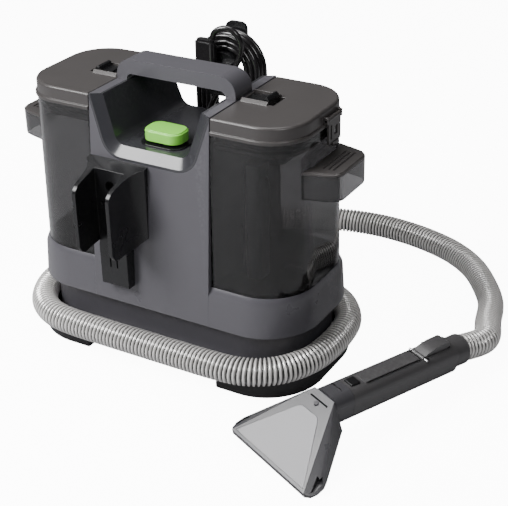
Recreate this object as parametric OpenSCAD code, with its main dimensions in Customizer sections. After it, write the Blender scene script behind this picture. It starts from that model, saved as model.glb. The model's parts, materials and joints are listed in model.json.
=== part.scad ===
// Portable carpet and upholstery spot cleaner with two lift-off tanks, a wrapped hose and a hand wand.
// Origin: floor, under the middle of the machine. +X to the dirty-water tank, +Y to the back, +Z up. Millimetres.

/* [Overall] */
// Piece to draw
// Height of the top of the lids and of the tower
top_z = 319; // [317:0.5:321]
// Half of the width over the lids
lid_half_x = 175.5; // [174.5:0.5:176.5]
// Half of the depth over the lids
lid_half_y = 72.5; // [72:0.5:73]

/* [Base] */
// Half of the width of the foot outline
foot_half_x = 189.5; // [188:0.5:191]
// Half of the depth of the foot outline
foot_half_y = 98; // [97:0.5:99]
// Height of the top of the feet
foot_top = 21; // [20:0.5:21]
// Height of the seam between the base and the housing
seam_z = 74; // [73:0.5:75]

/* [Tower] */
// Half of the width of the tower between the tanks
tower_half_x = 78; // [77.5:0.5:78]
// Height of the deck that the tanks stand on
deck_z = 121; // [120:0.5:122]
// Moulded wall thickness of the housing
wall = 3; // [2.5:0.5:3]
// Height of the floor of the control recess
recess_z = 264; // [262:1:265]

/* [Handle] */
// Height of the top of the carry handle
handle_top = 344; // [342:1:348]
// Width of the carry handle from front to back
handle_w = 35; // [30:1:36]
// Thickness of the carry handle
handle_t = 17; // [15:1:17]

/* [Button] */
// Travel of the power button
button_travel = 2.5; // [1:0.5:2.5]

/* [Tanks] */
// Wall thickness of the tanks
tank_wall = 2.5; // [2:0.5:2.5]
// Depth of the lid band
lid_h = 19; // [18:0.5:19]

/* [Hose and wand] */
// Outside diameter of the hose
hose_d = 32; // [28:1:32]
// Length of the wand body
wand_l = 160; // [157:1:162]
// Length of the nozzle
nozzle_l = 83; // [80:1:85]
// Half of the width of the nozzle mouth
mouth_half = 58; // [56:1:60]

/* [Cord] */
// Diameter of the mains cord
cord_d = 7; // [6:0.5:7]

/* [Hidden] */
$fn = 64;
hull_fn = 40;
eps = 0.01;
gap = 0.3;
seam_half = [184, 90, 66];
lip_half = [182, 87, 63];
lip_z = deck_z - 9;
deck_half = [178.5, 81.5, 57.5];
skirt_half = [171, 81, 60];
tank_base_half = [178, 81, 57];
tank_top_half = [175.3, 73, 47];
lid_z = top_z - lid_h;
lid_r = 46.5;
tank_x = tower_half_x + 1;
tower_low_y = seam_half[1];
tower_top_y = 72;
tower_slope = (tower_low_y - tower_top_y) / (top_z - seam_z);
recess_low_x = 46;
recess_top_x = 64;
recess_r = 14;
recess_lean = atan2(top_z - recess_z, recess_top_x - recess_low_x);
bevel_depth = 7.5;
bevel_wide = 12;
button_y = -38;
button_half = [24, 16, 12];
cap_low = recess_z + 4.2;
cap_top = recess_z + 17;
stem_r = 5;
plate_t = 1.5;
latch_y = [-11, 15];
latch_x = [82, 121];
latch_low = top_z - 5;
slide_len = 32;
latch_rim = 3.5;
clasp_y = [2, 30];
clasp_axis = [178.6, top_z - 11];
clasp_t = 2.6;
pin_r = 1.5;
grip_x = 212;
grip_top = 266;
grip_low = 234;
fan_z = 80;
fan_h = 36;
fan_r = 62;
motor_r = 44;
motor_h = 74;
impeller_r = 52;
riser_at = [112, -34];
float_at = [110, 12];
valve_at = [-128, 0];
port_y = 108;
port_z = 34;
port_x = 34;
cuff_r = 18;
port_r = 15;
duct_z = 240;
bore_r = 13.2;
spigot_r = 12.9;
neck_at = [256.4, -109.9, 46.7];
wand_heading = -110.5;
wand_pitch = 3.9;
wand_roll = -7.1;
cuff_l = 22;
head_pitch = 19.8;
head_at = 24.6;
neck_half_y = 15;
neck_low_y = 24;
neck_half_z = 19;
mouth_h = 7;
shell_t = 2.5;
top_drop = 2 * neck_half_z - mouth_h;
top_tilt = atan(top_drop / nozzle_l);
wand_half = [18.5, 19.5, 14];
trigger_x = [-152, -106];
trigger_half_y = 9;
hank_y = [88, 114];
hank_top = 352;
hank_low = 180;
hank_half_x = 45;
hank_t = 21;

// ---------- shared shapes ----------

// Half depth of the tower's sloping face at height z.
function tower_y(z) = tower_low_y - tower_slope * (z - seam_z);

module rounded(half_x, half_y, r) {
  square([2 * (half_x - r), 2 * half_y], center = true);
  square([2 * half_x, 2 * (half_y - r)], center = true);
  for (sx = [-1, 1], sy = [-1, 1])
    translate([sx * (half_x - r), sy * (half_y - r)])
      circle(r);
}

module slab(half, z0, z1, inset = 0) {
  translate([0, 0, z0])
    linear_extrude(z1 - z0)
      rounded(half[0] - inset, half[1] - inset, half[2] - inset);
}

// Straight-sided taper between two rounded outlines.
module taper(low, high, z0, z1, inset = 0) {
  hull() {
    slab(low, z0, z0 + eps, inset, $fn = hull_fn);
    slab(high, z1 - eps, z1, inset, $fn = hull_fn);
  }
}

// Outline drawn as [y, z], extruded from x = -half_x to half_x.
module side_prism(points, half_x) {
  translate([-half_x, 0, 0])
    rotate([90, 0, 90])
      linear_extrude(2 * half_x)
        polygon(points);
}

// Outline drawn as [x, z], extruded from y = y0 to y1.
module front_prism(points, y0, y1) {
  translate([0, y1, 0])
    rotate([90, 0, 0])
      linear_extrude(y1 - y0)
        polygon(points);
}

module box(low, high) {
  translate(low)
    cube(high - low);
}

module rod(a, r, h) {
  translate(a)
    cylinder(r = r, h = h);
}

// Cylinder along +Y from point a.
module rod_y(a, r, h) {
  translate(a)
    rotate([-90, 0, 0])
      cylinder(r = r, h = h);
}

// Cylinder along +X from point a.
module rod_x(a, r, h) {
  translate(a)
    rotate([0, 90, 0])
      cylinder(r = r, h = h);
}

// Everything right of the tower, where a tank stands.
module tank_side(x = tank_x) {
  box([x, -200, -1], [300, 200, 500]);
}

// ---------- swept tubes ----------

function smooth(a, b, c, d, t) = 0.5 * (2 * b + (c - a) * t + (2 * a - 5 * b + 4 * c - d) * t * t
  + (3 * b - a - 3 * c + d) * t * t * t);

// Points along a smooth curve through every route point, n to a span.
function spline(route, n) = let (last = len(route) - 1) concat(
  [for (i = [0:last - 1], k = [0:n - 1])
    smooth(route[max(i - 1, 0)], route[i], route[i + 1], route[min(i + 2, last)], k / n)],
  [route[last]]);

function unit(v) = v / norm(v);

module tube(path, r, sides, ref) {
  last = len(path) - 1;
  rings = [for (i = [0:last])
    let (t = unit(path[min(i + 1, last)] - path[max(i - 1, 0)]),
      s = unit(cross(t, ref)),
      u = cross(s, t))
    [for (k = [0:sides - 1])
      path[i] + r * (cos(360 * k / sides) * s + sin(360 * k / sides) * u)]];
  points = [for (ring = rings, p = ring) p];
  walls = [for (i = [0:last - 1], k = [0:sides - 1])
    let (a = i * sides + k, b = i * sides + (k + 1) % sides)
    [a, b, b + sides, a + sides]];
  caps = [[for (k = [sides - 1:-1:0]) k], [for (k = [0:sides - 1]) last * sides + k]];
  polyhedron(points, concat(walls, caps), convexity = 8);
}

// ---------- base ----------

module foot_outline(z0, z1) {
  slab([foot_half_x, foot_half_y, 71], z0, z1);
}

module base_pan() {
  color("dimgray") {
    difference() {
      slab(skirt_half, foot_top, seam_z);
      slab(skirt_half, foot_top + wall, seam_z + 1, wall);
      rod_y([0, skirt_half[1] - 2 * wall, port_z + 8], bore_r, 3 * wall);
    }
    box([-80, -16, 0], [80, 16, foot_top]);
    for (s = [-1, 1])
      box([s * 60 - 10, -60, foot_top - 8], [s * 60 + 10, 60, foot_top]);
  }
}

module foot(side) {
  intersection() {
    foot_outline(0, foot_top);
    translate([side * 194, 0, 0])
      cube([210, 300, 60], center = true);
  }
}

module foot_left() {
  color("black") foot(-1);
}

module foot_right() {
  color("black") foot(1);
}

// ---------- housing ----------

module housing_outer() {
  hull() {
    slab(seam_half, seam_z, seam_z + eps, 0, $fn = hull_fn);
    slab(lip_half, lip_z, lip_z + eps, 0, $fn = hull_fn);
    slab(deck_half, deck_z - eps, deck_z, 0, $fn = hull_fn);
  }
  side_prism([[-tower_low_y, seam_z], [tower_low_y, seam_z], [tower_top_y, top_z],
    [-tower_top_y, top_z]], tower_half_x);
}

module housing_inner() {
  low = seam_z - 1;
  high = top_z - wall;
  hull() {
    slab(seam_half, low, low + eps, wall, $fn = hull_fn);
    slab(lip_half, lip_z - 1, lip_z - 1 + eps, wall, $fn = hull_fn);
    slab(deck_half, deck_z - wall - eps, deck_z - wall, wall, $fn = hull_fn);
  }
  side_prism([[wall - tower_y(low), low], [tower_y(low) - wall, low],
    [tower_y(high) - wall, high], [wall - tower_y(high), high]], tower_half_x - wall);
}

// Right half of the recess outline as [x, z], grown by t: a rounded floor corner, then a leaning side.
function recess_right(t) =
  let (turn_x = recess_low_x - recess_r * (1 - cos(recess_lean)) / sin(recess_lean))
  concat(
    [for (i = [0:7]) let (a = recess_lean * i / 7 - 90)
      [turn_x + (recess_r + t) * cos(a), recess_z + recess_r + (recess_r + t) * sin(a)]],
    [[recess_low_x + (top_z + 1 - recess_z) / tan(recess_lean) + t / sin(recess_lean), top_z + 1]]);

function recess_outline(t) =
  let (side = recess_right(t))
  concat(side, [for (i = [len(side) - 1:-1:0]) [-side[i][0], side[i][1]]]);

// The open channel under the handle, grown by t on its floor and sides.
module recess(t, y0, y1) {
  front_prism(recess_outline(t), y0, y1);
}

// The flared mouth of the recess at the front (s = -1) or the back (s = 1), leaning with the tower's face.
module recess_flare(t, s) {
  inner_y = tower_y(recess_z) - bevel_depth;
  reach = 1.5 * bevel_depth;
  translate([0, s * inner_y, recess_z])
    rotate([s * atan(tower_slope), 0, 0])
      translate([0, 0, -recess_z])
        hull() {
          front_prism(recess_outline(t), -eps, eps);
          translate([0, s * reach, 0])
            front_prism(recess_outline(t + 1.5 * bevel_wide), -eps, eps);
        }
}

module housing_shell() {
  difference() {
    housing_outer();
    housing_inner();
    recess(wall, -120, 120);
    for (s = [-1, 1])
      recess_flare(wall, s);
    rod([valve_at[0], valve_at[1], deck_z - 10], 15, 20);
    rod([float_at[0] + 30, 0, deck_z - 10], 12, 20);
    rod_x([tower_half_x - 2 * wall, 20, duct_z], 11, 4 * wall);
  }
}

module front_housing() {
  color("slategray")
    intersection() {
      housing_shell();
      box([-300, -300, 0], [300, 0, 500]);
    }
}

screw_spots = [[-130, 84], [130, 84], [-60, 150], [60, 150], [-60, 240], [60, 240]];

module rear_housing() {
  color("slategray")
    difference() {
      intersection() {
        housing_shell();
        box([-300, 0, 0], [300, 300, 500]);
      }
      for (p = screw_spots)
        rod_y([p[0], 60, p[1]], 1.7, 60);
      for (i = [0:8])
        box([36 + 8 * i, 70, 84], [40 + 8 * i, 120, 106]);
      rod_y([-60, 70, 100], 4.2, 40);
    }
}

module housing_screws() {
  color("silver")
    for (p = screw_spots) {
      far = abs(p[0]) > 118 ? 88.4 : tower_y(p[1]);
      rod_y([p[0], far - 8, p[1]], 1.6, 8.4);
      rod_y([p[0], far + 0.4, p[1]], 3.4, 2);
    }
}

module control_deck() {
  color("gray")
    difference() {
      intersection() {
        union() {
          recess(wall, -tower_low_y, tower_low_y);
          for (s = [-1, 1])
            recess_flare(wall, s);
        }
        side_prism([[-tower_low_y, seam_z], [tower_low_y, seam_z], [tower_top_y, top_z],
          [-tower_top_y, top_z]], tower_half_x);
      }
      recess(0, -200, 200);
      for (s = [-1, 1])
        recess_flare(0, s);
      rod([0, button_y, recess_z - 10], stem_r + gap, 20);
    }
}

module carry_handle() {
  outer = tower_half_x;
  span_x = outer - 13;
  low = handle_top - handle_t;
  color("slategray")
    translate([0, handle_w / 2, 0])
      rotate([90, 0, 0])
        linear_extrude(handle_w)
          difference() {
            union() {
              translate([-outer, top_z])
                square([2 * outer, handle_top - top_z - 20]);
              translate([-outer + 20, top_z])
                square([2 * outer - 40, handle_top - top_z]);
              for (s = [-1, 1])
                intersection() {
                  translate([s * (outer - 20), handle_top - 20])
                    circle(20);
                  translate([-outer, top_z])
                    square([2 * outer, 40]);
                }
            }
            translate([-span_x + 7, top_z - 1])
              square([2 * span_x - 14, low - top_z + 1]);
            translate([-span_x, top_z - 1])
              square([2 * span_x, low - 7 - top_z + 1]);
            for (s = [-1, 1])
              translate([s * (span_x - 7), low - 7])
                circle(7);
          }
}

// ---------- tool holder ----------

module tool_holder() {
  cx = -40;
  front_y = -133;
  slot_half = 20;
  slot_back = -96;
  strap_half = 18.5;
  low_z = 100;
  color("black")
    difference() {
      union() {
        intersection() {
          translate([cx, 0, 100])
            linear_extrude(180)
              difference() {
                polygon([[-39, -70], [-39, -84], [-33, -89], [-28.5, -98], [-26, -110], [-24.5, front_y - 2],
                  [24.5, front_y - 2], [26, -110], [28.5, -98], [33, -89], [39, -84], [39, -70]]);
                translate([-slot_half, front_y - 4])
                  square([2 * slot_half, slot_back - front_y + 4]);
              }
          side_prism([[front_y, 160], [front_y, 224], [-131, 229.5], [-126, 234], [-120, 236.5],
            [-tower_y(249), 249], [-tower_y(164), 164], [-88, 159], [-96, 154], [-124, 151], [-129, 153]], 90);
        }
        translate([cx, 0, 0])
          side_prism([[slot_back + 2, 172], [-100, 150], [-100, low_z + 1.5], [-98.5, low_z],
            [-tower_y(low_z), low_z], [-tower_y(164), 164], [-88, 176]], strap_half);
      }
      for (s = [-1, 1])
        box([cx + s * 4.5 - 0.9, -104, 124], [cx + s * 4.5 + 0.9, -94, 138]);
      rod_y([cx, slot_back - 4, 224], 6.5, 12);
    }
}

// ---------- inside the housing ----------

module exhaust_grille() {
  color("black")
    difference() {
      box([32, 80.5, 80], [110, 83.5, 110]);
      for (i = [0:11])
        box([37 + 6 * i, 70, 84], [40 + 6 * i, 90, 106]);
    }
}

module fan_casing() {
  color("gray") {
    difference() {
      rod([0, 0, fan_z], fan_r, fan_h);
      rod([0, 0, fan_z + wall], fan_r - wall, fan_h - 2 * wall);
      rod([0, 0, fan_z - 1], 20, 6);
      rod([0, 0, fan_z + fan_h - wall - 1], 7, 6);
    }
    for (a = [45:90:315])
      rotate([0, 0, a])
        box([50, -6, foot_top + wall], [58, 6, fan_z]);
  }
}

module impeller() {
  color("silver") {
    rod([0, 0, fan_z + 6], impeller_r, 2);
    rod([0, 0, fan_z + 8], 5, fan_h + 4);
    for (i = [0:9])
      rotate([0, 0, 36 * i])
        box([4, -1, fan_z + 7], [impeller_r - 2, 1, fan_z + 24]);
  }
}

module motor_mount() {
  color("black")
    difference() {
      rod([0, 0, fan_z + fan_h], motor_r + 4, 10);
      rod([0, 0, fan_z + fan_h - 1], motor_r - 6, 12);
    }
}

module vacuum_motor() {
  base = fan_z + fan_h + 10;
  color("silver")
    difference() {
      union() {
        rod([0, 0, base], motor_r, motor_h);
        rod([0, 0, base + motor_h], 18, 12);
      }
      rod([0, 0, base - 1], 5 + gap, 40);
    }
}

module air_duct() {
  low = fan_z + fan_h + 6;
  color("dimgray")
    difference() {
      union() {
        rod([58, 20, low], 12, duct_z + 12 - low);
        rod_x([58, 20, duct_z], 12, tower_half_x - wall - 58);
      }
      rod([58, 20, low - 1], 10, duct_z + 10 - low);
      rod_x([58, 20, duct_z], 10, 40);
    }
}

module pump() {
  color("dimgray") {
    box([-150, -30, foot_top + wall], [-100, 30, seam_z - 10]);
    rod_y([-125, -60, seam_z - 30], 18, 30);
    rod([-128, 0, seam_z - 10], 6, 20);
  }
}

module pump_tube() {
  color("white")
    tube(spline([[-99.8, 12, 44], [-88, 12, 44], [-70, 20, 44], [-66, 40, 44], [-50, 60, 44],
      [-30, 66, 42], [-22, 66, 42]], 4), 4, 10, [0, 0, 1]);
}

module switch() {
  color("black") {
    box([-12, button_y - 11, recess_z - 30], [12, button_y + 11, recess_z - 14.2]);
    for (s = [-1, 1])
      box([s * 14 - 2, button_y - 6, recess_z - 26], [s * 14 + 2, button_y + 6, recess_z - wall]);
  }
}

module control_board() {
  color("green") {
    box([-72, -40, 150], [-70.4, 40, 230]);
    for (i = [0:3])
      rod_x([-70.4, -26 + 17 * i, 170], 5, 14);
    box([-75, -42, 146], [-72, 42, 150]);
  }
}

// Bent pipe from the base's rear wall, pointing back, to the hose's start, pointing right.
module hose_port() {
  z = port_z + 8;
  turn_r = 20;
  straight_y = port_y - turn_r;
  color("black") {
    difference() {
      union() {
        rod_y([0, skirt_half[1], z], 17, 5);
        rod_y([0, skirt_half[1], z], port_r, straight_y - skirt_half[1]);
      }
      rod_y([0, skirt_half[1] - 1, z], bore_r - 2, straight_y);
    }
    translate([turn_r, straight_y, z])
      rotate([0, 0, 90])
        rotate_extrude(angle = 90)
          translate([turn_r, 0])
            difference() {
              circle(port_r);
              circle(bore_r - 2);
            }
    difference() {
      rod_x([turn_r, port_y, z], cuff_r, port_x - turn_r - gap);
      rod_x([turn_r - 1, port_y, z], bore_r - 2, 50);
    }
  }
}

// ---------- power button ----------

module button_plate() {
  color("black")
    translate([0, button_y, recess_z])
      difference() {
        linear_extrude(plate_t) rounded(28, 20, 14);
        rod([0, 0, -1], stem_r + gap, 5);
      }
}

module power_button() {
  color("limegreen")
    translate([0, button_y, 0])
      difference() {
        union() {
          slab(button_half, cap_low, cap_top - 1.5);
          slab(button_half, cap_top - 1.5, cap_top, 1.5);
          rod([0, 0, recess_z - 11.5], stem_r, cap_top - recess_z + 4);
        }
        difference() {
          rod([0, 0, cap_low - 1], 10.5, 8);
          rod([0, 0, 0], stem_r, 400);
        }
      }
}

module button_spring() {
  turns = 4;
  low = recess_z + plate_t + 0.7;
  high = cap_low + 6.2;
  color("silver")
    translate([0, button_y, 0])
      tube([for (i = [0:turns * 12])
        [8 * cos(30 * i), 8 * sin(30 * i), low + (high - low) * i / (turns * 12)]], 0.6, 6, [0, 0, 1]);
}

// ---------- tanks ----------

module tank_shell() {
  difference() {
    intersection() {
      taper(tank_base_half, tank_top_half, deck_z, lid_z);
      tank_side();
    }
    intersection() {
      taper(tank_base_half, tank_top_half, deck_z + tank_wall, lid_z + 1, tank_wall);
      tank_side(tank_x + tank_wall);
    }
  }
  difference() {
    translate([0, 0, grip_low])
      linear_extrude(grip_top - 4 - grip_low)
        grip_outline(0);
    translate([0, 0, grip_low - 1])
      linear_extrude(grip_top - grip_low)
        grip_outline(wall);
    intersection() {
      taper(tank_base_half, tank_top_half, deck_z, lid_z);
      tank_side();
    }
  }
}

// Plan of the finger grip, drawn in by t.
module grip_outline(t) {
  low_t = 0.7 * t;
  polygon([[165, t - 46], [196 - low_t, t - 38], [205 - low_t, low_t - 34.5], [210 - low_t, low_t - 30],
    [grip_x - t, low_t - 24], [grip_x - t, 24 - low_t], [210 - low_t, 31 - low_t], [205 - low_t, 36.5 - low_t],
    [196 - low_t, 40 - t], [165, 48 - t]]);
}

module grip_cap() {
  difference() {
    union() {
      translate([0, 0, grip_top - 4])
        linear_extrude(2.8)
          grip_outline(0);
      translate([0, 0, grip_top - 1.2])
        linear_extrude(1.2)
          grip_outline(1.2);
    }
    taper(tank_base_half, tank_top_half, deck_z, lid_z, -gap);
    for (i = [0:2])
      box([grip_x - 13 - 5.5 * i, -25, grip_top - 1.6], [grip_x - 11 - 5.5 * i, 28, grip_top + 1]);
  }
}

module lid_shell() {
  half = [lid_half_x, lid_half_y, lid_r];
  difference() {
    union() {
      intersection() {
        union() {
          slab(half, lid_z, top_z);
          slab([lid_half_x + 2, lid_half_y + 2, lid_r + 2], lid_z, lid_z + 4);
        }
        tank_side();
      }
      difference() {
        intersection() {
          slab(half, lid_z - 17, lid_z + 2, 6);
          tank_side(tank_x + 6);
        }
        intersection() {
          slab(half, lid_z - 18, lid_z + 3, 8.5);
          tank_side(tank_x + 8.5);
        }
      }
    }
    intersection() {
      slab(half, lid_z + wall, top_z - wall, wall);
      tank_side(tank_x + wall);
    }
    intersection() {
      slab(half, lid_z - 1, lid_z + wall + 1, 8.5);
      tank_side(tank_x + 8.5);
    }
    box([latch_x[0], latch_y[0], latch_low], [latch_x[1], latch_y[1], top_z + 1]);
  }
  difference() {
    box([latch_x[0] - 2, latch_y[0] - 2, latch_low - 2], [latch_x[1] + 2, latch_y[1] + 2, top_z - wall]);
    box([latch_x[0], latch_y[0], latch_low], [latch_x[1], latch_y[1], top_z + 1]);
  }
  translate([(latch_x[0] + latch_x[1] - 6) / 2, 0, 0])
    for (rim = [[latch_y[0], -1], [latch_y[1], 1]])
      side_prism([[rim[0], top_z - 1], [rim[0], top_z + latch_rim], [rim[0] + rim[1] * 0.8, top_z + latch_rim],
        [rim[0] + rim[1] * 4.5, top_z], [rim[0] + rim[1] * 4.5, top_z - 1]],
        (latch_x[1] - latch_x[0] - 6) / 2);
  for (y = [clasp_y[0] - 3.5, clasp_y[1] + 0.5])
    difference() {
      box([lid_half_x - 1.5, y, clasp_axis[1] - 4], [clasp_axis[0] + 2.4, y + 3, clasp_axis[1] + 4]);
      rod_y([clasp_axis[0], y - 1, clasp_axis[1]], pin_r, 6);
    }
}

module lid_seal() {
  half = [lid_half_x, lid_half_y, lid_r];
  difference() {
    intersection() {
      slab(half, lid_z - 12, lid_z - 8, 3.4);
      tank_side(tank_x + tank_wall + gap);
    }
    intersection() {
      slab(half, lid_z - 13, lid_z - 7, 6);
      tank_side(tank_x + 6);
    }
  }
}

module latch_slide() {
  x0 = latch_x[0] + 0.5;
  low = latch_low + gap;
  box([x0, latch_y[0] + 0.5, low], [x0 + slide_len, latch_y[1] - 0.5, low + 4]);
  front_prism([[x0 + 12, low + 4], [x0 + slide_len, low + 4], [x0 + slide_len, top_z + 4],
    [x0 + slide_len - 3, top_z + 7], [x0 + slide_len - 6, top_z + 6], [x0 + slide_len - 8, top_z + 1.5],
    [x0 + 12, top_z + 1.5]], latch_y[0] + 1.5, latch_y[1] - 1.5);
}

module clasp() {
  difference() {
    union() {
      box([clasp_axis[0] - 0.4, clasp_y[0], 280], [clasp_axis[0] - 0.4 + clasp_t, clasp_y[1], clasp_axis[1]]);
      rod_y([clasp_axis[0], clasp_y[0], clasp_axis[1]], 2.6, clasp_y[1] - clasp_y[0]);
      box([clasp_axis[0] + 0.4, clasp_y[0] + 7, 277.5], [clasp_axis[0] + 3.4, clasp_y[1] - 7, 281]);
    }
    rod_y([clasp_axis[0], -50, clasp_axis[1]], pin_r, 150);
    box([170, clasp_y[0] + 13, 288], [190, clasp_y[1] - 8, 298]);
    box([170, clasp_y[0] + 4, 285], [190, clasp_y[0] + 7, 301]);
  }
}

module clasp_pin() {
  rod_y([clasp_axis[0], clasp_y[0] - 3.5, clasp_axis[1]], pin_r - 0.05, clasp_y[1] - clasp_y[0] + 7);
}

module clean_tank() {
  color("gray", 0.5)
    difference() {
      mirror([1, 0, 0]) tank_shell();
      rod([valve_at[0], valve_at[1], deck_z - 1], 8, 10);
    }
}

module dirty_tank() {
  color("gray", 0.5) tank_shell();
}

module clean_grip_cap() {
  color("black") mirror([1, 0, 0]) grip_cap();
}

module dirty_grip_cap() {
  color("black") grip_cap();
}

module clean_lid() {
  color("dimgray") mirror([1, 0, 0]) lid_shell();
}

module dirty_lid() {
  color("dimgray") lid_shell();
}

module clean_lid_seal() {
  color("black") mirror([1, 0, 0]) lid_seal();
}

module dirty_lid_seal() {
  color("black") lid_seal();
}

module clean_latch() {
  color("black") mirror([1, 0, 0]) latch_slide();
}

module dirty_latch() {
  color("black") latch_slide();
}

module clean_clasp() {
  color("black") mirror([1, 0, 0]) clasp();
}

module dirty_clasp() {
  color("black") clasp();
}

module clean_clasp_pin() {
  color("silver") mirror([1, 0, 0]) clasp_pin();
}

module dirty_clasp_pin() {
  color("silver") clasp_pin();
}

module valve_cap() {
  color("black")
    translate([valve_at[0], valve_at[1], deck_z + tank_wall])
      difference() {
        rod([0, 0, 0], 13, 16);
        rod([0, 0, -1], 10.5, 14);
        rod([0, 0, 10], 2.3, 10);
        for (a = [0:90:270])
          rotate([0, 0, a])
            box([8, -4, 2], [14, 4, 9]);
      }
}

module valve_poppet() {
  color("white")
    translate([valve_at[0], valve_at[1], deck_z]) {
      rod([0, 0, tank_wall + 0.1], 9.6, 2);
      rod([0, 0, -2], 2, 17);
    }
}

module valve_spring() {
  turns = 4;
  low = deck_z + tank_wall + 2.8;
  high = deck_z + tank_wall + 12.3;
  color("silver")
    translate([valve_at[0], valve_at[1], 0])
      tube([for (i = [0:turns * 12])
        [5 * cos(30 * i), 5 * sin(30 * i), low + (high - low) * i / (turns * 12)]], 0.5, 6, [0, 0, 1]);
}

module riser() {
  low = deck_z + tank_wall;
  color("dimgray")
    translate([riser_at[0], riser_at[1], 0]) {
      difference() {
        slab([10, 13, 6], low, 262);
        slab([10, 13, 6], low - 1, 258, 2);
        box([-20, 4, 240], [20, 20, 254]);
      }
    }
}

module float_cage() {
  color("black")
    translate([float_at[0], float_at[1], 0])
      difference() {
        slab([18, 16, 8], 248, lid_z + wall);
        slab([18, 16, 8], 250, lid_z + 20, 2);
        for (a = [0, 90])
          rotate([0, 0, a])
            box([-40, -7, 253], [40, 7, 276]);
      }
}

module float() {
  color("orange")
    translate([float_at[0], float_at[1], 0])
      slab([12, 10, 6], 250.2, 268);
}

module baffle() {
  low = deck_z + tank_wall;
  color("dimgray")
    front_prism([[84, low], [112, low], [84, low + 52]], -34 + 14, -34 + 17);
}

// ---------- hose ----------

module wand_place() {
  translate(neck_at)
    rotate([0, 0, wand_heading])
      rotate([0, -wand_pitch, 0])
        rotate([wand_roll, 0, 0])
          children();
}

hose_end = neck_at - (wand_l + cuff_l) * [cos(wand_pitch) * cos(wand_heading),
  cos(wand_pitch) * sin(wand_heading), sin(wand_pitch)];
hose_back = hose_end - 45 * [cos(wand_heading), sin(wand_heading), 0.14];

hose_route = [[port_x, port_y, port_z + 8], [60, 109, 42], [100, 107, 40], [133, 99, 38.5], [162, 82, 38.5],
  [183, 53, 38.5], [190, 20, 38.5], [190, -20, 38.5], [183, -52, 38.5], [165, -82, 38.5], [138, -101, 38.5],
  [104, -108, 38.5], [50, -109, 38.5], [0, -109, 38.5], [-50, -109, 38.5], [-104, -108, 38.5],
  [-138, -101, 38.5], [-165, -82, 38.5], [-183, -52, 38.5], [-190, -20, 38.5], [-192, 20, 38.5],
  [-190, 66, 37], [-181, 112, 31], [-158, 164, 21], [-116, 222, 16.5], [-64, 272, 16.5], [-6, 308, 16.5],
  [46, 326, 16.5], [92, 333, 16.5], [134, 331, 16.5], [176, 322, 16.5], [216, 306, 16.5], [252, 280, 16.5],
  [281, 245, 16.5], [306, 203, 17], [321, 154, 20.5], hose_back, hose_end];

module hose() {
  color("silver") tube(spline(hose_route, 2), hose_d / 2, 12, [0, 0, 1]);
}

module hose_cuff() {
  color("black")
    wand_place()
      difference() {
        union() {
          rod_x([-wand_l - cuff_l, 0, 0], cuff_r, cuff_l - gap);
          rod_x([-wand_l - gap, 0, 0], spigot_r, 20);
        }
        rod_x([-wand_l - cuff_l + 4, 0, 0], spigot_r - 2.5, 60);
      }
}

// ---------- wand ----------

module wand_section(length, inset = 0) {
  rotate([90, 0, 90])
    linear_extrude(length)
      rounded(wand_half[0] - inset, wand_half[1] - inset, wand_half[2] - inset);
}

module wand_body() {
  difference() {
    union() {
      translate([-wand_l, 0, 0])
        wand_section(wand_l);
      box([trigger_x[1] + 6, -trigger_half_y, 10], [-22, trigger_half_y, wand_half[1] + 1.2]);
    }
    rod_x([-wand_l - 1, 0, 0], bore_r, wand_l + 2);
    box([trigger_x[0] - 1, -trigger_half_y - 0.5, bore_r + 1],
      [trigger_x[1] + 1.5, trigger_half_y + 0.5, 40]);
    rod_y([trigger_x[1] - 5, -40, 17.3], pin_r, 80);
    box([-16.5, -6.5, bore_r + 1], [-3.5, 6.5, 40]);
  }
}

module wand_left() {
  color("dimgray")
    wand_place()
      intersection() {
        wand_body();
        box([-300, 0, -60], [60, 60, 60]);
      }
}

module wand_right() {
  color("dimgray")
    wand_place()
      intersection() {
        wand_body();
        box([-300, -60, -60], [60, 0, 60]);
      }
}

module trigger() {
  x0 = trigger_x[0];
  x1 = trigger_x[1];
  color("black")
    wand_place()
      difference() {
        union() {
          front_prism([[x0, 20.5], [x0 + 4, 18.4], [x1 - 6, 15.2], [x1 - 6, 19.5], [x0 + 34, 22.5],
            [x0 + 22, 25.5], [x0 + 4, 26], [x0, 24]], -trigger_half_y, trigger_half_y);
          rod_y([x1 - 5, -trigger_half_y, 17.3], 2.6, 2 * trigger_half_y);
        }
        rod_y([x1 - 5, -40, 17.3], pin_r + 0.05, 80);
      }
}

module trigger_pin() {
  color("silver")
    wand_place()
      rod_y([trigger_x[1] - 5, -14, 17.3], pin_r - 0.02, 28);
}

module release_button() {
  color("black")
    wand_place()
      box([-16, -6, bore_r + 3.4], [-4, 6, wand_half[1] + 2]);
}

module head_place() {
  translate([head_at, 0, 0])
    rotate([0, head_pitch, 0])
      children();
}

// Outline of the nozzle's foot on one side, as [x, half width].
head_foot = [[0, neck_low_y], [55, 61], [62, 64.8], [72, 65.5], [79, 63.4]];

// The nozzle's hollow body: narrow along the top, spread and rounded along the floor.
module head_block(inset, x0, x1) {
  top = neck_half_z - inset;
  low = inset - neck_half_z;
  hull() {
    translate([x0, inset - neck_half_y, low])
      cube([eps, 2 * (neck_half_y - inset), top - low]);
    translate([x1, inset - mouth_half, low])
      cube([eps, 2 * (mouth_half - inset), mouth_h - 2 * inset]);
    for (p = head_foot)
      translate([max(p[0], x0), inset - p[1], low])
        cube([eps, 2 * (p[1] - inset), mouth_h / 3]);
  }
}

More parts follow.
